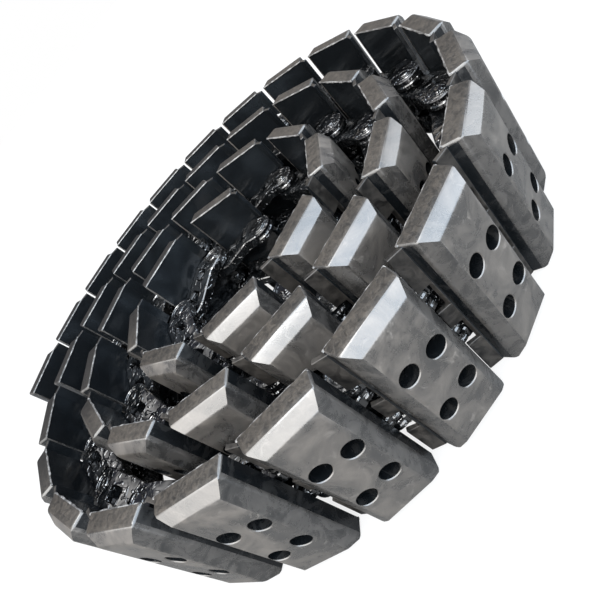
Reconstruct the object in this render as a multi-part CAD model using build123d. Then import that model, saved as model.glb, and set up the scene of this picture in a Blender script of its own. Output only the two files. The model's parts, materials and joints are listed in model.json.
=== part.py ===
from build123d import *
import math
import os

# A crawler track rolled up for shipping: two rows of forged links joined by pins and
# bushings, each pair of links carrying a steel shoe plate with a rubber pad moulded on it.
# The roll stands on the ends of its shoes, with every hinge pin upright along Z.
# One shoe's own axes: X along the track, Y out of the roll towards the ground face,
# Z across the track, with X = 0 midway between its two pins and Y = 0 on the pin line.
# Sizes are millimetres and angles are degrees.

# ---- chain -------------------------------------------------------------------------
PITCH = 140.0                 # pin centre to pin centre
SHOE_COUNT = 49
TAIL_COUNT = 5                # links at the free end that can swing open

# ---- roll, wound from its core outwards ------------------------------------------------
CORE_BEND = 75.0              # turning from pin to pin where the winding starts
CORE_ANGLE = 45.0             # where the first pin of the winding lies round the roll
TURN_GAP = 13.5               # pad of one turn to the links of the next
OVALITY = 40.0                # how far the widest turns are squashed out of round
OVAL_ANGLE = 21.0             # direction in which the roll is longest

# ---- shoe plate ----------------------------------------------------------------------
SHOE_WIDTH = 290.0            # across the track
PLATE_THICK = 8.0
PLATE_BACK = 59.5             # plate edge behind the shoe's middle
PLATE_FRONT = 82.0            # lip edge ahead of the shoe's middle
LIP_DROP = 13.0               # the lip bends in by this much, under the next plate
WINDOW_WIDTH = 50.0           # two windows in the lip, over the link ends
WINDOW_ROOT = 2.0             # lip left between the pad and the windows
WINDOW_OFFSET = 44.0          # window centre from the middle of the track

# ---- rubber pad ----------------------------------------------------------------------
PAD_SKIN = 3.0                # rubber round the ends and the back edge of the plate
PAD_HALF = 58.0               # top of the side walls from the shoe's middle
PAD_FOOT = 62.0               # foot of the front wall from the shoe's middle
PAD_WALL = 26.0               # height of the walls, from the plate's inner face
PAD_HEIGHT = 44.0             # ground face, from the plate's inner face
PAD_SIDE_BEVEL = 18.0         # run of the bevels along the track
PAD_END_BEVEL = 21.0          # run of the bevels across the track
ACCESS_HOLE = 30.0            # through the rubber, for a socket on the bolt head

# ---- links ---------------------------------------------------------------------------
EYE_RADIUS = 30.0
EYE_SHOULDER = 70.0           # angle on the eye where the flank to the seat begins
SEAT_HEIGHT = 38.0            # plate seat above the pin line
SEAT_HALF = 48.0              # half length of the seat
RAMP_HALF = 37.0              # half length of the crank between the two ends of a link
BORE_GAP = 45.0               # clear width between the narrow ends, for sprocket teeth
END_THICK = 21.5              # thickness of each end of a link
SIDE_CLEARANCE = 1.7          # between a narrow end and the wide end outside it
NUT_WINDOW_LENGTH = 27.0
NUT_WINDOW_TOP = 24.0         # above the pin line; the flange over it takes the bolts
NUT_WINDOW_BOTTOM = -7.0
NUT_WINDOW_CHAMFER = 6.0

# ---- pins and bushings -----------------------------------------------------------------
PIN_DIAMETER = 25.0
PIN_PROUD = 2.0               # pin end beyond the outer face of the link
BUSHING_DIAMETER = 38.0
RUNNING_CLEARANCE = 0.08      # on the radius, pin in bushing

# ---- bolts -----------------------------------------------------------------------------
BOLT_SPACING = 48.0           # along the track
BOLT_NARROW = 82.0            # across the track, at the narrow end of the links
BOLT_WIDE = 98.0              # across the track, at the wide end of the links
BOLT_DIAMETER = 12.0
BOLT_CLEARANCE = 0.5          # on the radius, bolt in its holes
HEAD_FLATS = 19.0
HEAD_THICK = 7.5
NUT_FLATS = 18.0
NUT_THICK = 10.0
BOLT_PROUD = 2.0              # bolt end beyond the nut

# ---- flats that stand for a small round ---------------------------------------------------
ACCESS_SIDE_COUNT = 12
BOLT_SIDE_COUNT = 8
BARREL_SIDE_COUNT = 8
EYE_SIDE_COUNT = 4            # round one eye of a wound link, from rail to flank

MIDDLE = SHOE_WIDTH / 2
NARROW_IN = BORE_GAP / 2
NARROW_OUT = NARROW_IN + END_THICK
WIDE_IN = NARROW_OUT + SIDE_CLEARANCE
WIDE_OUT = WIDE_IN + END_THICK
PLATE_TOP = SEAT_HEIGHT + PLATE_THICK
PIN_LENGTH = 2 * (WIDE_OUT + PIN_PROUD)
BUSHING_LENGTH = 2 * NARROW_OUT
BUSHING_BORE = PIN_DIAMETER + 2 * RUNNING_CLEARANCE
BOLT_HOLE = BOLT_DIAMETER + 2 * BOLT_CLEARANCE
CORE_PIN_RADIUS = PITCH / (2 * math.sin(math.radians(CORE_BEND / 2)))
TURN_SPACING = EYE_RADIUS + SEAT_HEIGHT + PAD_HEIGHT + TURN_GAP
BOLT_POINTS = [
    (x, MIDDLE + side * across / 2)
    for x, across in ((-BOLT_SPACING / 2, BOLT_NARROW), (BOLT_SPACING / 2, BOLT_WIDE))
    for side in (-1, 1)
]


def roll_point(turned):
    """Point on the pin line after the roll has turned by this angle from its core."""
    plain = CORE_PIN_RADIUS + TURN_SPACING * turned / 360
    around = math.radians(CORE_ANGLE + turned)
    squash = OVALITY * (1 - CORE_PIN_RADIUS / plain)
    radius = plain + squash * math.cos(2 * (around - math.radians(OVAL_ANGLE)))
    return Vector(radius * math.cos(around), radius * math.sin(around), 0)


def turnings():
    """Angle turned at each pin, each pin one pitch from the last, from the core out."""
    turned = [0.0]
    for _ in range(SHOE_COUNT):
        start = roll_point(turned[-1])
        low = turned[-1]
        high = low + 2 * CORE_BEND
        while high - low > 1e-9:
            middle = (low + high) / 2
            if (roll_point(middle) - start).length < PITCH:
                low = middle
            else:
                high = middle
        turned.append(low)
    return turned


def shoe_places():
    """Where each shoe's own axes lie before the roll is centred, from the free end in."""
    places = []
    points = [roll_point(turned) for turned in reversed(turnings())]
    for start, end in zip(points, points[1:]):
        step = end - start
        heading = math.degrees(math.atan2(step.Y, step.X))
        centre = (start + end) / 2
        places.append(Location((centre.X, centre.Y, 0), (0, 0, heading)))
    return places


def rod(x, z_low, z_high, diameter):
    """Round bar across the track, on the pin line."""
    return Pos(x, 0, z_low) * Cylinder(
        diameter / 2, z_high - z_low, align=(Align.CENTER, Align.CENTER, Align.MIN)
    )


def upright(x, z, y_low, y_high, outline):
    """A flat outline pulled from y_low to y_high, out of the roll."""
    plane = Plane(origin=(x, y_low, z), x_dir=(1, 0, 0), z_dir=(0, 1, 0))
    return extrude(plane * outline, y_high - y_low)


def pad_blank():
    """The hipped block: its view along the track's width, cut by its view along the track."""
    foot = SEAT_HEIGHT
    shoulder = SEAT_HEIGHT + PAD_WALL
    top = SEAT_HEIGHT + PAD_HEIGHT
    top_half = PAD_HALF - PAD_SIDE_BEVEL
    reach = max(PLATE_BACK + PAD_SKIN, PAD_FOOT)
    side_view = make_face(Polyline(
        (-PLATE_BACK - PAD_SKIN, foot), (-PAD_HALF, shoulder), (-top_half, top),
        (top_half, top), (PAD_HALF, shoulder), (PAD_FOOT, foot), close=True,
    ))
    end_view = make_face(Polyline(
        (0, foot), (0, shoulder), (-PAD_END_BEVEL, top), (PAD_END_BEVEL - SHOE_WIDTH, top),
        (-SHOE_WIDTH, shoulder), (-SHOE_WIDTH, foot), close=True,
    ))
    across = Plane(origin=(-reach, 0, 0), x_dir=(0, 0, -1), z_dir=(1, 0, 0))
    return extrude(side_view, SHOE_WIDTH) & extrude(across * end_view, 2 * reach)


def rubber_pad(with_holes):
    """Rubber block moulded round the plate, the plate's lip left bare."""
    pad = pad_blank() - plate_blank()
    if with_holes:
        hole = RegularPolygon(ACCESS_HOLE / 2, ACCESS_SIDE_COUNT)
        for x, z in BOLT_POINTS:
            pad -= upright(x, z, SEAT_HEIGHT, SEAT_HEIGHT + PAD_HEIGHT, hole)
    return pad


def plate_blank():
    """The plate, bent in along the foot of the pad, before its windows and holes are cut."""
    bend = math.atan2(LIP_DROP, PLATE_FRONT - PAD_FOOT)
    lip_top = PLATE_TOP - LIP_DROP
    side_view = make_face(Polyline(
        (-PLATE_BACK, SEAT_HEIGHT), (-PLATE_BACK, PLATE_TOP), (PAD_FOOT, PLATE_TOP),
        (PLATE_FRONT, lip_top),
        (PLATE_FRONT - PLATE_THICK * math.sin(bend), lip_top - PLATE_THICK * math.cos(bend)),
        (PAD_FOOT - PLATE_THICK * math.tan(bend / 2), SEAT_HEIGHT), close=True,
    ))
    return extrude(Plane.XY.offset(PAD_SKIN) * side_view, SHOE_WIDTH - 2 * PAD_SKIN)


def shoe_plate():
    """Steel plate with two windows in its bent lip, open at the front."""
    plate = plate_blank()
    reach = PLATE_FRONT - PAD_FOOT - WINDOW_ROOT
    window = Pos(PAD_FOOT + WINDOW_ROOT, 0, 0) * Box(
        2 * reach, 2 * PLATE_TOP, WINDOW_WIDTH, align=(Align.MIN, Align.CENTER, Align.CENTER)
    )
    for side in (-1, 1):
        plate -= Pos(0, SEAT_HEIGHT, MIDDLE + side * WINDOW_OFFSET) * window
    return plate


def drilled_plate():
    """The plate with its four bolt holes."""
    plate = shoe_plate()
    hole = RegularPolygon(BOLT_HOLE / 2, BOLT_SIDE_COUNT)
    for x, z in BOLT_POINTS:
        plate -= upright(x, z, SEAT_HEIGHT, PLATE_TOP, hole)
    return plate


def plate_with_heads():
    """The plate in one piece with its bolt heads, for the shoes that stay wound."""
    plate = shoe_plate()
    for x, z in BOLT_POINTS:
        plate += bolt_head(x, z)
    return plate


def link_side_view():
    """Side view of a link: an eye at each pin, the rail below, the plate seat above."""
    half = PITCH / 2
    lift = math.radians(EYE_SHOULDER)
    eye_x = half + EYE_RADIUS * math.cos(lift)
    eye_y = EYE_RADIUS * math.sin(lift)
    outline = [
        Line((-half, -EYE_RADIUS), (half, -EYE_RADIUS)),
        ThreePointArc((half, -EYE_RADIUS), (half + EYE_RADIUS, 0), (eye_x, eye_y)),
        Polyline(
            (eye_x, eye_y), (SEAT_HALF, SEAT_HEIGHT), (-SEAT_HALF, SEAT_HEIGHT), (-eye_x, eye_y)
        ),
        ThreePointArc((-eye_x, eye_y), (-half - EYE_RADIUS, 0), (-half, -EYE_RADIUS)),
    ]
    return make_face(outline)


def plain_link_side_view():
    """The same side view with flats round each eye."""
    flat_turn = (90 + EYE_SHOULDER) / EYE_SIDE_COUNT
    turns = [-90 + step * flat_turn for step in range(EYE_SIDE_COUNT + 1)]
    right = [
        (PITCH / 2 + EYE_RADIUS * math.cos(turn), EYE_RADIUS * math.sin(turn))
        for turn in map(math.radians, turns)
    ]
    right.append((SEAT_HALF, SEAT_HEIGHT))
    left = [(-x, y) for x, y in reversed(right)]
    return make_face(Polyline(*right, *left, close=True))


def link_plan_view():
    """A link seen from its seat: a narrow end, a crank and a wide end."""
    reach = PITCH / 2 + EYE_RADIUS
    return make_face(Polyline(
        (-reach, NARROW_IN), (-RAMP_HALF, NARROW_IN), (RAMP_HALF, WIDE_IN), (reach, WIDE_IN),
        (reach, WIDE_OUT), (RAMP_HALF, WIDE_OUT), (-RAMP_HALF, NARROW_OUT),
        (-reach, NARROW_OUT), close=True,
    ))


def cranked_bar(side_view):
    """A link's side view, cranked from its narrow end to its wide end."""
    deep = extrude(Plane.XY.offset(MIDDLE) * side_view, WIDE_OUT)
    plan = Plane(origin=(0, -EYE_RADIUS, MIDDLE), x_dir=(1, 0, 0), z_dir=(0, -1, 0))
    tall = extrude(plan * link_plan_view(), -(EYE_RADIUS + SEAT_HEIGHT))
    return deep & tall


def link():
    """Link of the upper row, with its pin and bushing bores, nut windows and bolt holes."""
    bar = cranked_bar(link_side_view())
    bar -= rod(-PITCH / 2, MIDDLE, SHOE_WIDTH, BUSHING_DIAMETER)
    bar -= rod(PITCH / 2, MIDDLE, SHOE_WIDTH, PIN_DIAMETER)
    height = NUT_WINDOW_TOP - NUT_WINDOW_BOTTOM
    opening = Rectangle(NUT_WINDOW_LENGTH, height)
    opening = chamfer(opening.vertices().group_by(Axis.Y)[0], NUT_WINDOW_CHAMFER)
    hole = RegularPolygon(BOLT_HOLE / 2, BOLT_SIDE_COUNT)
    for x, z in BOLT_POINTS[1::2]:
        window = Pos(x, NUT_WINDOW_BOTTOM + height / 2, MIDDLE) * opening
        bar -= extrude(window, WIDE_OUT)
        bar -= upright(x, z, NUT_WINDOW_TOP, SEAT_HEIGHT, hole)
    return bar


def plain_link(bore_x=None, bore_diameter=0.0):
    """Link of the upper row in one piece with its pin, bored at one end at the most."""
    bar = cranked_bar(plain_link_side_view())
    if bore_x is not None:
        bar -= rod(bore_x, MIDDLE, SHOE_WIDTH, bore_diameter)
    return bar


def lower_row(upper):
    """The same link in the lower row: its mirror image about the middle of the track."""
    return mirror(upper, about=Plane.XY.offset(MIDDLE))


def track_pin():
    """Pin pressed into the wide ends of a pair of links."""
    return rod(PITCH / 2, MIDDLE - PIN_LENGTH / 2, MIDDLE + PIN_LENGTH / 2, PIN_DIAMETER)


def bushing():
    """Bushing pressed into the narrow ends, turning on the neighbour's pin."""
    low = MIDDLE - BUSHING_LENGTH / 2
    high = MIDDLE + BUSHING_LENGTH / 2
    sleeve = rod(-PITCH / 2, low, high, BUSHING_DIAMETER)
    return sleeve - rod(-PITCH / 2, low, high, BUSHING_BORE)


def bushing_barrel():
    """The stretch of a wound bushing between the links, with flats for its round."""
    outline = RegularPolygon(BUSHING_DIAMETER / 2, BARREL_SIDE_COUNT)
    return extrude(Pos(-PITCH / 2, 0, MIDDLE - NARROW_IN) * outline, BORE_GAP)


def bolt_head(x, z):
    """Hexagon head seated on the plate."""
    outline = RegularPolygon(HEAD_FLATS / 2, 6, major_radius=False)
    return upright(x, z, PLATE_TOP, PLATE_TOP + HEAD_THICK, outline)


def shoe_bolts():
    """Four hexagon bolts whose heads sit on the plate inside the access holes."""
    end = NUT_WINDOW_TOP - NUT_THICK - BOLT_PROUD
    bolts = []
    round_bar = RegularPolygon(BOLT_DIAMETER / 2, BOLT_SIDE_COUNT)
    for x, z in BOLT_POINTS:
        shank = upright(x, z, end, PLATE_TOP, round_bar)
        bolts.append(bolt_head(x, z) + shank)
    return bolts


def shoe_nuts():
    """Four square nuts in the windows of the links."""
    nuts = []
    outline = Rectangle(NUT_FLATS, NUT_FLATS) - RegularPolygon(BOLT_DIAMETER / 2, BOLT_SIDE_COUNT)
    for x, z in BOLT_POINTS:
        nuts.append(upright(x, z, NUT_WINDOW_TOP - NUT_THICK, NUT_WINDOW_TOP, outline))
    return nuts


def write_node(name, *placed_pieces):
    """Write one node from pairs of a piece, or a list of pieces, and its places."""
    copies = []
    for piece, places in placed_pieces:
        pieces = piece if isinstance(piece, list) else [piece]
        copies += [place * item.solid() for place in places for item in pieces]
    group = Compound(label=name, children=copies) if len(copies) > 1 else copies[0]
    export_step(group, os.path.join("parts", name + ".step"))


os.makedirs("parts", exist_ok=True)

rough_places = shoe_places()
roll_box = Compound([place * rubber_pad(False).solid() for place in rough_places]).bounding_box()
centring = Location((-roll_box.center().X, -roll_box.center().Y, 0))
places = [centring * place for place in rough_places]
pin_turns = turnings()
outer_count = sum(pin_turns[-1] - turned < 360 for turned in pin_turns[1:])

# The links of the free end, which swing open one after another.
full_link = link()
full_pieces = {
    "rubber_pad": rubber_pad(True),
    "shoe_plate": drilled_plate(),
    "left_link": full_link,
    "right_link": lower_row(full_link),
    "track_pin": track_pin(),
    "bushing": bushing(),
    "shoe_bolts": shoe_bolts(),
    "shoe_nuts": shoe_nuts(),
}
for number, place in enumerate(places[:TAIL_COUNT], start=1):
    for name, piece in full_pieces.items():
        write_node(f"{name}_{number}", (piece, [place]))

# The links that stay wound, lighter in detail. The first of them turns on the last pin of
# the free end, and the last one takes the joining pin when the track is closed to a loop.
first_place = places[TAIL_COUNT:TAIL_COUNT + 1]
middle_places = places[TAIL_COUNT + 1:-1]
last_place = places[-1:]
outer_places = places[TAIL_COUNT:outer_count]
inner_places = places[outer_count:]
write_node("outer_turn_pads", (rubber_pad(True), outer_places))
write_node("inner_turn_pads", (rubber_pad(False), inner_places))
write_node("outer_turn_plates", (plate_with_heads(), outer_places))
write_node("inner_turn_plates", (shoe_plate(), inner_places))
write_node("wound_bushings", (bushing(), first_place), (bushing_barrel(), middle_places + last_place))
wound_links = [
    (plain_link(-PITCH / 2, BUSHING_DIAMETER), first_place),
    (plain_link(), middle_places),
    (plain_link(PITCH / 2, PIN_DIAMETER), last_place),
]
write_node("wound_left_links", *wound_links)
write_node("wound_right_links", *[(lower_row(piece), where) for piece, where in wound_links])
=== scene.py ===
import json
import math

import bmesh
import bpy
from mathutils import Matrix, Vector, noise


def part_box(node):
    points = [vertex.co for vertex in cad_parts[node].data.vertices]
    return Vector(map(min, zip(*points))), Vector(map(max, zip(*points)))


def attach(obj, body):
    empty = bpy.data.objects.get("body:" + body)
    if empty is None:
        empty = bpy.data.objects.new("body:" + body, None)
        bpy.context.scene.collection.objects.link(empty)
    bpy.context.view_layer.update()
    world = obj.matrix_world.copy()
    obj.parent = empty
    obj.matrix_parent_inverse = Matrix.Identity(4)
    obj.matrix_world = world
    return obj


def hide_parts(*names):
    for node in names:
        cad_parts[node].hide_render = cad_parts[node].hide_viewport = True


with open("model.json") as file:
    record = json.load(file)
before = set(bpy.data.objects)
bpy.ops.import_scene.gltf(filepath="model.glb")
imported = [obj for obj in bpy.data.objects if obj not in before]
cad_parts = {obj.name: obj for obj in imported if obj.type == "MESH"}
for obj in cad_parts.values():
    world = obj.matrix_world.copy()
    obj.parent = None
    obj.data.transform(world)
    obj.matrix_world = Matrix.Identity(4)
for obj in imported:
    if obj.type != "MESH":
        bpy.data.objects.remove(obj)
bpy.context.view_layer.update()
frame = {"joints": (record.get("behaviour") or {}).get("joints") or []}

# The looks of a rolled-up crawler track. One shoe, its pair of links, its pin, bushing, bolts
# and nuts are modelled once in the shoe's own axes, then copied to every place in the roll.
# A shoe's own axes: X along the track, Y out of the roll towards the ground face, Z across
# the track, X = 0 midway between its two pins, Y = 0 on the pin line. Sizes are metres.

# ---- chain and roll, as in the CAD part --------------------------------------------------
PITCH = 0.140
SHOE_COUNT = 49
TAIL_COUNT = 5
CORE_BEND = 75.0
CORE_ANGLE = 45.0
TURN_SPACING = 0.1255
OVALITY = 0.040
OVAL_ANGLE = 21.0

# ---- shoe --------------------------------------------------------------------------------
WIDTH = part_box("rubber_pad_1")[1].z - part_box("rubber_pad_1")[0].z
MIDDLE = WIDTH / 2
SEAT = 0.038                  # plate's inner face above the pin line
PLATE_THICK = 0.008
PLATE_BACK = 0.0595
PLATE_FRONT = 0.082           # edge of the lip, which bends in under the next plate
LIP_DROP = 0.013
PAD_SKIN = 0.003
PAD_HALF = 0.058
PAD_FOOT = 0.062
SHOULDER = SEAT + 0.026
PAD_TOP = SEAT + 0.044
SIDE_BEVEL = 0.018
END_BEVEL = 0.021
PAD_ROUNDING = 0.0048
BEAD_RADIUS = 0.0014          # flash along the inner edge of the end walls
BEAD_STRETCH = 1.8            # height of the bead over its width
BEAD_STEPS = 40               # lengths that the bead's unevenness is made of
BEAD_WAVES = 60               # unevenness of the bead, per metre
FACE, END, SIDE, FLASH, BEVEL = range(5)  # the pads' finishes
WINDOW_WIDTH = 0.050
WINDOW_ROOT = 0.002
WINDOW_OFFSET = 0.044
BOLT_X = 0.024
BOLT_NARROW = 0.041           # bolt from the middle of the track, at the narrow end
BOLT_WIDE = 0.049
ACCESS_RADIUS = 0.0160
ACCESS_FLARE = 0.0013

# ---- links, pins and bushings --------------------------------------------------------------
EYE_RADIUS = 0.030
NARROW_IN = 0.0225
END_THICK = 0.0215
NARROW_OUT = NARROW_IN + END_THICK
WIDE_IN = NARROW_OUT + 0.0017
WIDE_OUT = WIDE_IN + END_THICK
RAMP_HALF = 0.037
SEAT_HALF = 0.048
EYE_GROOVE = 0.0026
EYE_RINGS = (0.0165, 0.0235)  # grooves round the pin on the flat of an eye
RING_DEPTH = 0.0015
PIN_RADIUS = 0.0125
PIN_PROUD = 0.002
BUSHING_RADIUS = 0.019
NUT_WINDOW_LENGTH = 0.027
NUT_WINDOW_TOP = 0.024
NUT_WINDOW_BOTTOM = -0.007
NUT_THICK = 0.010
NUT_HALF = 0.009
BOLT_RADIUS = 0.006
HEAD_RADIUS = 0.0110          # to the corners of the hexagon
HEAD_THICK = 0.0075
ROUND_STEPS = 28
SHARP = math.radians(25)      # edges sharper than this are rounded
CUTTER_PROUD = 0.002          # how far a cutter reaches past what it cuts

BOLT_POINTS = [
    (x, MIDDLE + side * across)
    for x, across in ((-BOLT_X, BOLT_NARROW), (BOLT_X, BOLT_WIDE))
    for side in (-1, 1)
]


# ---- the roll's places -----------------------------------------------------------------------
def roll_point(turned):
    """Point on the pin line after the roll has turned by this angle from its core."""
    start = PITCH / (2 * math.sin(math.radians(CORE_BEND / 2)))
    plain = start + TURN_SPACING * turned / 360
    around = math.radians(CORE_ANGLE + turned)
    squash = OVALITY * (1 - start / plain)
    radius = plain + squash * math.cos(2 * (around - math.radians(OVAL_ANGLE)))
    return Vector((radius * math.cos(around), radius * math.sin(around), 0))


def pin_turns():
    """Angle turned at each pin, one pitch apart, from the free end in to the core."""
    turns = [0.0]
    for _ in range(SHOE_COUNT):
        start = roll_point(turns[-1])
        low, high = turns[-1], turns[-1] + 2 * CORE_BEND
        while high - low > 1e-7:
            middle = (low + high) / 2
            if (roll_point(middle) - start).length < PITCH:
                low = middle
            else:
                high = middle
        turns.append(high)
    return turns[::-1]


def shoe_places(turns):
    """A matrix for each shoe, set where the first hinge of the frame says."""
    points = [roll_point(turned) for turned in turns]
    hinge = next(joint for joint in frame["joints"] if joint["name"] == "pin_1_hinge")
    shift = Vector(hinge["pos_m"]) - points[1]
    shift.z = 0
    places = []
    for start, end in zip(points, points[1:]):
        step = end - start
        turn = Matrix.Rotation(math.atan2(step.y, step.x), 4, "Z")
        places.append(Matrix.Translation((start + end) / 2 + shift) @ turn)
    return places


# ---- small modelling tools ---------------------------------------------------------------------
def block(low, high):
    """A box between two corners, as a new bmesh."""
    bm = bmesh.new()
    low, high = Vector(low), Vector(high)
    size = Matrix.Diagonal((*(high - low), 1))
    bmesh.ops.create_cube(bm, size=1, matrix=Matrix.Translation((low + high) / 2) @ size)
    return bm


def turned_piece(profile, steps=ROUND_STEPS):
    """A closed round piece about Z from (radius, height) points that start and end on Z."""
    bm = bmesh.new()
    verts = [bm.verts.new((radius, 0, height)) for radius, height in profile]
    edges = [bm.edges.new(pair) for pair in zip(verts, verts[1:])]
    bmesh.ops.spin(
        bm, geom=verts + edges, cent=(0, 0, 0), axis=(0, 0, 1),
        angle=2 * math.pi, steps=steps, use_merge=True,
    )
    bmesh.ops.remove_doubles(bm, verts=bm.verts[:], dist=1e-6)
    bmesh.ops.recalc_face_normals(bm, faces=bm.faces[:])
    return bm


def chamfered_profile(radius, low, high, chamfer):
    """Profile of a disc or bar with chamfered rims."""
    return [
        (0, low), (radius - chamfer, low), (radius, low + chamfer),
        (radius, high - chamfer), (radius - chamfer, high), (0, high),
    ]


def moved(bm, x=0.0, y=0.0, z=0.0):
    """The same bmesh after a move."""
    bmesh.ops.translate(bm, verts=bm.verts[:], vec=(x, y, z))
    return bm


def lying_out(bm):
    """A piece turned about Z, laid so that its axis points out of the roll along Y."""
    bmesh.ops.rotate(bm, verts=bm.verts[:], matrix=Matrix.Rotation(-math.pi / 2, 3, "X"))
    return bm


def rounded(bm, size, segments=2, above=-1.0):
    """Rounds the sharp edges that reach above a height."""
    edges = [
        edge for edge in bm.edges
        if edge.calc_face_angle(0) > SHARP and max(vert.co.y for vert in edge.verts) > above
    ]
    bmesh.ops.bevel(
        bm, geom=edges, offset=size, segments=segments, affect="EDGES", profile=0.5,
        material=-1, clamp_overlap=True,
    )
    return bm


def joined(*parts):
    """One mesh from several bmeshes, which are freed."""
    whole = bmesh.new()
    for part in parts:
        piece = bpy.data.meshes.new("part")
        part.to_mesh(piece)
        part.free()
        whole.from_mesh(piece)
        bpy.data.meshes.remove(piece)
    mesh = bpy.data.meshes.new("whole")
    whole.to_mesh(mesh)
    whole.free()
    return mesh


def cut(mesh, cutter):
    """The mesh less the cutter, both closed."""
    body = bpy.data.objects.new("body", mesh)
    tool = bpy.data.objects.new("tool", cutter)
    for piece in (body, tool):
        bpy.context.scene.collection.objects.link(piece)
    trim = body.modifiers.new("trim", "BOOLEAN")
    trim.operation = "DIFFERENCE"
    trim.solver = "EXACT"
    trim.object = tool
    result = bpy.data.meshes.new_from_object(
        body.evaluated_get(bpy.context.evaluated_depsgraph_get())
    )
    for piece in (body, tool):
        bpy.data.objects.remove(piece)
    return result


def mirrored(mesh):
    """The mesh and nothing else, mirrored about the middle of the track."""
    bm = bmesh.new()
    bm.from_mesh(mesh)
    bmesh.ops.scale(bm, verts=bm.verts[:], vec=(1, 1, -1))
    bmesh.ops.translate(bm, verts=bm.verts[:], vec=(0, 0, WIDTH))
    bmesh.ops.reverse_faces(bm, faces=bm.faces[:])
    return joined(bm)


# ---- shader helpers ----------------------------------------------------------------------------
class Wire:
    """A socket on which sums, products and steps can be written as Python expressions."""

    def __init__(self, paint, socket):
        self.paint = paint
        self.socket = socket

    def math(self, operation, *others, clamp=False):
        sockets = {index: value for index, value in enumerate((self, *others))}
        settings = {"operation": operation, "use_clamp": clamp}
        return self.paint.node("ShaderNodeMath", settings, sockets)

    def __add__(self, other):
        return self.math("ADD", other)

    def __mul__(self, other):
        return self.math("MULTIPLY", other)

    def __sub__(self, other):
        return self.math("SUBTRACT", other)

    def __rsub__(self, other):
        return self.paint.node("ShaderNodeMath", {"operation": "SUBTRACT"}, {0: other, 1: self})

    __radd__ = __add__
    __rmul__ = __mul__

    def ramp(self, low, high):
        """0 below low, 1 above high, smooth between; low above high turns it round."""
        sockets = {"Value": self, "From Min": low, "From Max": high}
        settings = {"interpolation_type": "SMOOTHSTEP"}
        return self.paint.node("ShaderNodeMapRange", settings, sockets)


class Paint:
    """The nodes of one material or world."""

    def __init__(self, owner):
        owner.use_nodes = True
        self.owner = owner
        self.tree = owner.node_tree
        self.tree.nodes.clear()

    def node(self, kind, settings=None, sockets=None, out=0):
        made = self.tree.nodes.new(kind)
        for name, value in (settings or {}).items():
            setattr(made, name, value)
        for name, value in (sockets or {}).items():
            if isinstance(value, Wire):
                self.tree.links.new(value.socket, made.inputs[name])
            else:
                made.inputs[name].default_value = value
        return Wire(self, made.outputs[out] if made.outputs else None)

    def place(self):
        """The point on the object."""
        return self.node("ShaderNodeTexCoord", out="Object")

    def noise(self, scale, detail=4.0, roughness=0.5, distortion=0.0):
        """Cloudy pattern; scale is blotches per metre."""
        sockets = {
            "Vector": self.place(), "Scale": scale, "Detail": detail,
            "Roughness": roughness, "Distortion": distortion,
        }
        return self.node("ShaderNodeTexNoise", None, sockets, "Fac")

    def colour(self, start, end, share):
        """Colour between two colours."""
        return self.node(
            "ShaderNodeMix", {"data_type": "RGBA"}, {0: share, 6: start, 7: end}, 2
        )

    def dot(self, first, second):
        """How far two directions agree, from -1 to 1."""
        settings = {"operation": "DOT_PRODUCT"}
        return self.node("ShaderNodeVectorMath", settings, {0: first, 1: second}, "Value")

    def bumps(self, height, depth):
        """Surface relief."""
        return self.node("ShaderNodeBump", None, {"Height": height, "Distance": depth})

    def surface(self, **sockets):
        """The principled shader on the material's output."""
        names = {name.replace("_", " "): value for name, value in sockets.items()}
        shader = self.node("ShaderNodeBsdfPrincipled", None, names)
        self.node("ShaderNodeOutputMaterial", None, {"Surface": shader})
        return self.owner


def grey(level, warmth=0.0):
    """A grey, warm above 0 and blue below."""
    return (level * (1 + warmth), level, level * (1 - warmth), 1)


# ---- finishes --------------------------------------------------------------------------------
def pad_rubber():
    """Moulded rubber, satin, with dusty smears and pale scuffs."""
    paint = Paint(bpy.data.materials.new("pad_rubber"))
    smears = paint.noise(16, 7, 0.66, 0.9).ramp(0.30, 0.72)
    scuffs = paint.noise(55, 6, 0.72, 0.9).ramp(0.56, 0.74)
    grain = paint.noise(420, 2, 0.5)
    dusty = paint.colour(grey(0.028, 0.04), grey(0.098, 0.12), smears)
    worn = paint.colour(dusty, grey(0.22, 0.10), scuffs * 0.45)
    roughness = 0.24 + smears * 0.12 + scuffs * 0.14
    return paint.surface(
        Base_Color=worn, Roughness=roughness, IOR=2.1,
        Normal=paint.bumps(grain + smears * 0.4, 0.0002),
    )


def flash_rubber():
    """The bead of flash, pale in places: partly scuffed wear, partly a painted highlight along the
    end walls' inner edge.
    """
    paint = Paint(bpy.data.materials.new("flash_rubber"))
    # painted highlight: the pale patches also stand for the bright thin line along the bead
    worn = paint.noise(90, 4, 0.65, 0.5).ramp(0.42, 0.62)
    return paint.surface(
        Base_Color=paint.colour(grey(0.06, 0.04), grey(0.24, 0.02), worn),
        Roughness=0.34 + worn * 0.15, IOR=1.8,
        Normal=paint.bumps(paint.noise(260, 3), 0.0003),
    )


def pad_side_rubber():
    """The pads' side walls and access holes: almost black rubber, partly cleaner than the faces and
    partly painted shade between the shoes and down the holes.
    """
    paint = Paint(bpy.data.materials.new("pad_side_rubber"))
    streaks = paint.noise(24, 5, 0.6, 1.5).ramp(0.45, 0.75)
    return paint.surface(
        # painted shade: the near-black base stands partly for the shade between neighbouring shoes
        # and inside the access holes
        Base_Color=paint.colour(grey(0.005, -0.2), grey(0.020, 0.0), streaks),
        Roughness=0.22 + streaks * 0.2, IOR=1.6,
        Normal=paint.bumps(paint.noise(300, 3), 0.0002),
    )


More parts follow.
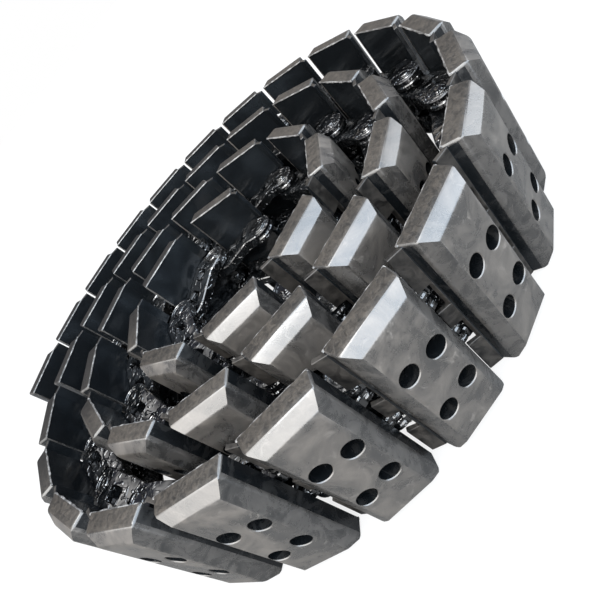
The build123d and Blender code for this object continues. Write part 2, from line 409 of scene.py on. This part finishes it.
def pad_bevel_rubber():
    """The long bevels beside the pads' faces: darker than the faces, partly cleaner rubber and
    partly painted shade towards the gaps between the shoes.
    """
    paint = Paint(bpy.data.materials.new("pad_bevel_rubber"))
    streaks = paint.noise(30, 7, 0.7, 0.8).ramp(0.28, 0.72)
    return paint.surface(
        # painted shade: the darker base stands partly for the shade towards the gaps between
        # neighbouring shoes
        Base_Color=paint.colour(grey(0.014, 0.0), grey(0.066, 0.08), streaks),
        Roughness=0.22 + streaks * 0.12, IOR=2.0,
        Normal=paint.bumps(paint.noise(300, 3), 0.0002),
    )


def pad_end_rubber():
    """The pads' end walls: rough rubber with brown-grey dust, darkened by painted shade on the
    roll's far side.
    """
    paint = Paint(bpy.data.materials.new("pad_end_rubber"))
    streaks = paint.noise(120, 6, 0.7, 0.8).ramp(0.3, 0.7)
    broad = paint.noise(14, 3, 0.5).ramp(0.35, 0.65)
    # painted shade: end walls lighter on the roll's near side, towards the camera and lamps, darker
    # on its far side; the dust share below holds real dust streaks scaled by this painted shade
    painted_shade_mask = paint.dot(paint.place(), (0.75, -0.66, 0)).ramp(-0.18, 0.02)
    dust = (streaks * 0.7 + broad * 0.2) * (0.2 + painted_shade_mask * 0.8)
    base = paint.colour(grey(0.003, 0.10), grey(0.058, 0.18), dust)
    return paint.surface(
        Base_Color=base, Roughness=0.5,
        Normal=paint.bumps(streaks + paint.noise(500, 2), 0.0005),
    )


def plate_paint():
    """Gloss black dip paint on the shoe plates, a little blue."""
    paint = Paint(bpy.data.materials.new("plate_paint"))
    haze = paint.noise(7, 4, 0.55, 0.8).ramp(0.4, 0.7)
    base = paint.colour(grey(0.006, -0.18), grey(0.014, -0.18), haze)
    return paint.surface(
        Base_Color=base, Roughness=0.18 + haze * 0.06, IOR=1.45,
        Normal=paint.bumps(paint.noise(35, 3), 0.0006),
    )


def lip_paint():
    """The plates' bare lips: black paint under grey-brown dust."""
    paint = Paint(bpy.data.materials.new("lip_paint"))
    dust = paint.noise(40, 5, 0.65, 0.8).ramp(0.3, 0.7)
    return paint.surface(
        Base_Color=paint.colour(grey(0.006, 0.05), grey(0.040, 0.12), dust),
        Roughness=0.32 + dust * 0.2,
        Normal=paint.bumps(paint.noise(180, 3), 0.0004),
    )


def chain_paint():
    """Wet-looking black dip paint on the links, with runs and drops."""
    paint = Paint(bpy.data.materials.new("chain_paint"))
    haze = paint.noise(30, 4, 0.6).ramp(0.4, 0.7)
    drops = paint.noise(90, 1, 0.4, 0.5).ramp(0.50, 0.66)
    runs = paint.noise(35, 1, 0.4, 0.8)
    return paint.surface(
        Base_Color=paint.colour(grey(0.003, -0.1), grey(0.010, -0.1), haze),
        Roughness=0.06 + haze * 0.06, IOR=2.15,
        Normal=paint.bumps(drops * 0.5 + runs, 0.0026),
    )


def bolt_paint():
    """Black steel of the bolts and nuts."""
    paint = Paint(bpy.data.materials.new("bolt_paint"))
    haze = paint.noise(60, 3, 0.6).ramp(0.4, 0.7)
    return paint.surface(
        Base_Color=paint.colour(grey(0.05), grey(0.14, -0.03), haze),
        Metallic=0.7, Roughness=0.14 + haze * 0.12,
    )


# ---- pieces in the shoe's own axes -----------------------------------------------------------
def pad_unit():
    """Hipped block of rubber, hollowed for the plate and holed for the bolts."""
    bm = block((-PLATE_BACK - PAD_SKIN, SEAT, 0), (PAD_FOOT, SHOULDER, WIDTH))
    top = [face for face in bm.faces if face.normal.y > 0.9]
    for vert in top[0].verts:
        vert.co.x = math.copysign(PAD_HALF, vert.co.x)
    raised = bmesh.ops.extrude_discrete_faces(bm, faces=top)["faces"][0]
    for vert in raised.verts:
        vert.co.x -= math.copysign(SIDE_BEVEL, vert.co.x)
        vert.co.y = PAD_TOP
        vert.co.z -= math.copysign(END_BEVEL, vert.co.z - MIDDLE)
    rounded(bm, PAD_ROUNDING, 3, above=SEAT + 0.001)
    # faces turned along the track get the darker side and bevel rubbers, partly as painted shade
    # between the shoes
    for face in bm.faces:
        across, along = abs(face.normal.z), abs(face.normal.x)
        wall = SIDE if along > 0.98 else BEVEL if along > 0.4 else FACE
        face.material_index = END if across > 0.8 else wall
    below, beyond = SEAT - CUTTER_PROUD, PAD_TOP + CUTTER_PROUD
    pocket = block(
        (-PLATE_BACK, below, PAD_SKIN),
        (PAD_FOOT + CUTTER_PROUD, SEAT + PLATE_THICK, WIDTH - PAD_SKIN),
    )
    for face in pocket.faces:
        face.material_index = SIDE
    mesh = cut(joined(bm), joined(pocket))
    flared = ACCESS_RADIUS + ACCESS_FLARE
    profile = [
        (0, below), (ACCESS_RADIUS, below), (ACCESS_RADIUS, PAD_TOP - ACCESS_FLARE),
        (flared, PAD_TOP + 0.0001), (flared, beyond), (0, beyond),
    ]
    cutters = [moved(lying_out(turned_piece(profile)), x, 0, z) for x, z in BOLT_POINTS]
    # straight walls of the access holes get the near-black side rubber, partly as painted shade
    # down the holes
    for cutter in cutters:
        for face in cutter.faces:
            straight = face.calc_center_median().y < PAD_TOP - ACCESS_FLARE
            face.material_index = SIDE if straight else FACE
    mesh = cut(mesh, joined(*cutters))
    bm = bmesh.new()
    bm.from_mesh(mesh)
    inset = BEAD_RADIUS + 0.0003
    return joined(bm, flash_bead(inset), flash_bead(WIDTH - inset))


def flash_bead(z):
    """Uneven bead of rubber squeezed out along the inner edge of an end wall."""
    bm = bmesh.new()
    low = -PLATE_BACK - PAD_SKIN / 2
    length = PAD_FOOT - low
    bmesh.ops.create_cone(
        bm, cap_ends=True, segments=8, radius1=BEAD_RADIUS, radius2=BEAD_RADIUS, depth=length,
        matrix=Matrix.Rotation(math.pi / 2, 4, "Y"),
    )
    for step in range(1, BEAD_STEPS):
        bmesh.ops.bisect_plane(
            bm, geom=bm.verts[:] + bm.edges[:] + bm.faces[:],
            plane_co=(length * (step / BEAD_STEPS - 0.5), 0, 0), plane_no=(1, 0, 0),
        )
    for vert in bm.verts:
        wave = 3.2 * noise.noise(Vector((vert.co.x * BEAD_WAVES, z * 7, 0)))
        vert.co.y = vert.co.y * (BEAD_STRETCH + 0.3 * wave) - 0.0004 * wave
        vert.co.z *= 1 + 0.08 * wave
    for face in bm.faces:
        face.material_index = FLASH
    return moved(bm, low + length / 2, SEAT, z)


def plate_unit():
    """Steel plate with two windows in its bent lip, dusty on the outside."""
    bm = block((-PLATE_BACK, SEAT, PAD_SKIN), (PAD_FOOT, SEAT + PLATE_THICK, WIDTH - PAD_SKIN))
    run = PLATE_FRONT - PAD_FOOT
    bend = math.atan2(LIP_DROP, run)
    front = [face for face in bm.faces if face.normal.x > 0.9]
    lip = bmesh.ops.extrude_discrete_faces(bm, faces=front)["faces"][0]
    for vert in lip.verts:
        if vert.co.y > SEAT + PLATE_THICK / 2:
            vert.co += Vector((run, -LIP_DROP, 0))
        else:
            tuck, rise = PLATE_THICK * math.sin(bend), PLATE_THICK * (1 - math.cos(bend))
            vert.co += Vector((run - tuck, rise - LIP_DROP, 0))
    plate = joined(bm)
    windows = [
        block(
            (PAD_FOOT + WINDOW_ROOT, 0, z - WINDOW_WIDTH / 2),
            (PLATE_FRONT + 0.01, SEAT + PLATE_THICK + 0.01, z + WINDOW_WIDTH / 2),
        )
        for z in (MIDDLE - WINDOW_OFFSET, MIDDLE + WINDOW_OFFSET)
    ]
    bm = bmesh.new()
    bm.from_mesh(cut(plate, joined(*windows)))
    rounded(bm, 0.0009, 1)
    for face in bm.faces:
        dusty = face.calc_center_median().x > PAD_FOOT and face.normal.y > -0.1
        face.material_index = 1 if dusty else 0
    return joined(bm)


def eye(x, low, high):
    """Round eye of a link with a groove round its rim and rings round the pin."""
    middle = (low + high) / 2
    chamfer = 0.0018
    profile = [
        (0, low), (EYE_RADIUS - 2 * chamfer, low), (EYE_RADIUS, low + chamfer),
        (EYE_RADIUS, middle - EYE_GROOVE), (EYE_RADIUS - EYE_GROOVE, middle),
        (EYE_RADIUS, middle + EYE_GROOVE), (EYE_RADIUS, high - chamfer),
        (EYE_RADIUS - 2 * chamfer, high),
    ]
    for ring in reversed(EYE_RINGS):
        profile += [(ring + RING_DEPTH, high), (ring, high - RING_DEPTH), (ring - RING_DEPTH, high)]
    profile.append((0, high))
    return moved(turned_piece(profile), x, 0, MIDDLE)


def link_unit():
    """Link of the upper row: two eyes and the cranked bar with its two nut windows."""
    bm = block((-PITCH / 2, -EYE_RADIUS, NARROW_IN), (PITCH / 2, SEAT, NARROW_OUT))
    moved(bm, z=MIDDLE)
    for x in (-RAMP_HALF, RAMP_HALF):
        bmesh.ops.bisect_plane(
            bm, geom=bm.verts[:] + bm.edges[:] + bm.faces[:], plane_co=(x, 0, 0),
            plane_no=(1, 0, 0),
        )
    for vert in bm.verts:
        if vert.co.x > 0:
            vert.co.z += WIDE_IN - NARROW_IN
    for side in (-1, 1):
        flank = Vector((side * (SEAT - 0.028), PITCH / 2 + 0.010 - SEAT_HALF, 0))
        bmesh.ops.bisect_plane(
            bm, geom=bm.verts[:] + bm.edges[:] + bm.faces[:],
            plane_co=(side * SEAT_HALF, SEAT, 0), plane_no=flank, clear_outer=True,
        )
    bmesh.ops.holes_fill(bm, edges=bm.edges[:])
    bmesh.ops.recalc_face_normals(bm, faces=bm.faces[:])
    rounded(bm, 0.002, 1)
    bar = joined(bm)
    windows = [
        rounded(block(
            (x - NUT_WINDOW_LENGTH / 2, NUT_WINDOW_BOTTOM, MIDDLE + NARROW_IN - 0.02),
            (x + NUT_WINDOW_LENGTH / 2, NUT_WINDOW_TOP, MIDDLE + WIDE_OUT + 0.02),
        ), 0.005, 2)
        for x in (-BOLT_X, BOLT_X)
    ]
    web = bmesh.new()
    web.from_mesh(cut(bar, joined(*windows)))
    return joined(
        web, eye(-PITCH / 2, NARROW_IN, NARROW_OUT), eye(PITCH / 2, WIDE_IN, WIDE_OUT)
    )


def pin_unit():
    """Track pin with chamfered ends."""
    half = WIDE_OUT + PIN_PROUD
    profile = chamfered_profile(PIN_RADIUS, MIDDLE - half, MIDDLE + half, 0.0016)
    return joined(moved(turned_piece(profile), PITCH / 2))


def bushing_unit():
    """Hollow bushing pressed into the narrow ends."""
    low, high = MIDDLE - NARROW_OUT, MIDDLE + NARROW_OUT
    sleeve = chamfered_profile(BUSHING_RADIUS, low, high, 0.001)
    bore = chamfered_profile(PIN_RADIUS + 0.0002, low - 0.01, high + 0.01, 0.001)
    return cut(*(joined(moved(turned_piece(shape), -PITCH / 2)) for shape in (sleeve, bore)))


def bolts_unit():
    """Four hexagon heads on the plate, with the bolt ends below."""
    seat = SEAT + PLATE_THICK
    head = chamfered_profile(HEAD_RADIUS, seat, seat + HEAD_THICK, 0.0008)
    shank = chamfered_profile(BOLT_RADIUS, NUT_WINDOW_TOP - NUT_THICK - 0.002, seat, 0.001)
    pieces = []
    for x, z in BOLT_POINTS:
        pieces.append(moved(lying_out(turned_piece(head, 6)), x, 0, z))
        pieces.append(moved(lying_out(turned_piece(shank, 12)), x, 0, z))
    return joined(*pieces)


def nuts_unit():
    """Four square nuts in the links' windows."""
    pieces = []
    for x, z in BOLT_POINTS:
        nut = block(
            (x - NUT_HALF, NUT_WINDOW_TOP - NUT_THICK, z - NUT_HALF),
            (x + NUT_HALF, NUT_WINDOW_TOP, z + NUT_HALF),
        )
        pieces.append(rounded(nut, 0.0008, 1))
    return joined(*pieces)


# ---- the roll -------------------------------------------------------------------------------
def build(name, units, places, body, nodes, finishes):
    """One piece: its units copied to each place, riding on a body in place of CAD nodes."""
    whole = bmesh.new()
    for place in places:
        for unit in units:
            copy = unit.copy()
            copy.transform(place)
            whole.from_mesh(copy)
            bpy.data.meshes.remove(copy)
    mesh = bpy.data.meshes.new(name)
    whole.to_mesh(mesh)
    whole.free()
    mesh.polygons.foreach_set("use_smooth", [True] * len(mesh.polygons))
    mesh.set_sharp_from_angle(angle=math.radians(30))
    for finish in finishes:
        mesh.materials.append(finish)
    piece = bpy.data.objects.new(name, mesh)
    bpy.context.scene.collection.objects.link(piece)
    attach(piece, body)
    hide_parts(*nodes)
    return piece


turns = pin_turns()
places = shoe_places(turns)
pad = pad_unit()
plate = plate_unit()
upper_link = link_unit()
links = [upper_link, mirrored(upper_link)]
pin = pin_unit()
bushing = bushing_unit()
bolts = bolts_unit()
nuts = nuts_unit()

rubber = [pad_rubber(), pad_end_rubber(), pad_side_rubber(), flash_rubber(),
          pad_bevel_rubber()]
plate_finish = [plate_paint(), lip_paint()]
chain_finish = [chain_paint()]
bolt_finish = [bolt_paint()]

for number, place in enumerate(places[:TAIL_COUNT], start=1):
    tail = f"link_{number}"
    build(f"pad_{number}", [pad], [place], tail,
          [f"rubber_pad_{number}"], rubber)
    build(f"plate_{number}", [plate], [place], tail,
          [f"shoe_plate_{number}"], plate_finish)
    build(f"link_pair_{number}", links, [place], tail,
          [f"left_link_{number}", f"right_link_{number}"], chain_finish)
    build(f"pin_{number}", [pin], [place], tail,
          [f"track_pin_{number}"], chain_finish)
    build(f"sleeve_{number}", [bushing], [place], tail,
          [f"bushing_{number}"], chain_finish)
    build(f"bolts_{number}", [bolts], [place], tail,
          [f"shoe_bolts_{number}"], bolt_finish)
    build(f"nuts_{number}", [nuts], [place], tail,
          [f"shoe_nuts_{number}"], bolt_finish)

outer_count = sum(turns[0] - turned < 360 for turned in turns[:-1])
outer = places[TAIL_COUNT:outer_count]
inner = places[outer_count:]
wound = places[TAIL_COUNT:]
build("outer_pads", [pad], outer, "wound_roll", ["outer_turn_pads"], rubber)
build("inner_pads", [pad], inner, "wound_roll", ["inner_turn_pads"], rubber)
build("outer_plates", [plate, bolts], outer, "wound_roll",
      ["outer_turn_plates"], plate_finish)
build("inner_plates", [plate, bolts], inner, "wound_roll",
      ["inner_turn_plates"], plate_finish)
build("wound_links", links, wound, "wound_roll",
      ["wound_left_links", "wound_right_links"], chain_finish)
build("wound_pins", [pin], wound[:-1], "wound_roll", [], chain_finish)
build("wound_sleeves", [bushing], wound, "wound_roll",
      ["wound_bushings"], chain_finish)
build("wound_nuts", [nuts], wound, "wound_roll", [], bolt_finish)


# ---- floor, light and camera ------------------------------------------------------------------
def floor():
    """Pale floor that stays white to the camera and keeps a soft shadow."""
    bm = bmesh.new()
    bmesh.ops.create_grid(bm, x_segments=1, y_segments=1, size=60)
    plain = bpy.data.objects.new("floor", joined(bm))
    plain.data.transform(Matrix.Translation((0, 0, -0.001)))
    bpy.context.scene.collection.objects.link(plain)
    paint = Paint(bpy.data.materials.new("floor"))
    seen = paint.node("ShaderNodeLightPath", out="Is Camera Ray")
    tone = paint.colour(grey(0.14), grey(0.8), seen)
    matt = paint.node("ShaderNodeBsdfDiffuse", None, {"Color": tone})
    white = paint.node("ShaderNodeEmission", None, {"Color": grey(1.0), "Strength": 0.95})
    both = paint.node("ShaderNodeMixShader", None, {0: seen * 0.86, 1: matt, 2: white})
    paint.node("ShaderNodeOutputMaterial", None, {"Surface": both})
    plain.data.materials.append(paint.owner)


def sky():
    """White to the camera; to everything else a broad soft light from the camera's side."""
    world = bpy.data.worlds.new("room")
    bpy.context.scene.world = world
    paint = Paint(world)
    seen = paint.node("ShaderNodeLightPath", out="Is Camera Ray")
    ray = paint.node("ShaderNodeTexCoord", out="Generated")
    side = paint.node("ShaderNodeSeparateXYZ", None, {0: ray}, 0)
    towards = paint.dot(ray, (0.20, -0.74, 0.64))
    tint = paint.colour((1.0, 0.985, 0.96, 1), (0.74, 0.86, 1.0, 1), side.ramp(-0.3, 0.8))
    room = paint.colour((0.020, 0.021, 0.027, 1), tint, towards.ramp(-0.18, 0.98))
    colour = paint.colour(room, grey(1.0), seen)
    strength = seen + (1 - seen) * 4.75
    light = paint.node("ShaderNodeBackground", None, {"Color": colour, "Strength": strength})
    paint.node("ShaderNodeOutputWorld", None, {"Surface": light})


def lamp(name, direction, distance, size, power, colour=(1, 1, 1)):
    """Soft area lamp that looks at the middle of the roll."""
    data = bpy.data.lights.new(name, "AREA")
    data.shape = "RECTANGLE"
    data.size, data.size_y = size
    data.energy = power
    data.color = colour
    shown = bpy.data.objects.new(name, data)
    bpy.context.scene.collection.objects.link(shown)
    way = Vector(direction).normalized()
    shown.location = way * distance + Vector((0, 0, MIDDLE))
    shown.rotation_euler = way.to_track_quat("Z", "Y").to_euler()
    shown.visible_camera = False


def camera():
    """Camera above the roll's near side, turned about its own axis."""
    data = bpy.data.cameras.new("camera")
    data.sensor_width = 36
    data.lens = 29.70
    eye_place = Matrix.Translation((0.3919, -0.8473, 0.6544))
    yaw = Matrix.Rotation(math.radians(21.69), 4, "Z")
    pitch = Matrix.Rotation(math.radians(90 - 34.27), 4, "X")
    roll = Matrix.Rotation(math.radians(-51.46), 4, "Z")
    shown = bpy.data.objects.new("camera", data)
    shown.matrix_world = eye_place @ yaw @ pitch @ roll
    bpy.context.scene.collection.objects.link(shown)
    bpy.context.scene.camera = shown


floor()
sky()
lamp("key", (0.05, -0.42, 0.9), 4.5, (1.3, 1.3), 55)
lamp("side", (0.95, 0.05, 0.22), 3.5, (2.5, 2.0), 45, (0.92, 0.96, 1.0))
lamp("back", (0.15, 0.95, 0.32), 3.5, (3.0, 1.2), 7, (1.0, 0.90, 0.76))
camera()
bpy.context.scene.view_settings.view_transform = "Standard"
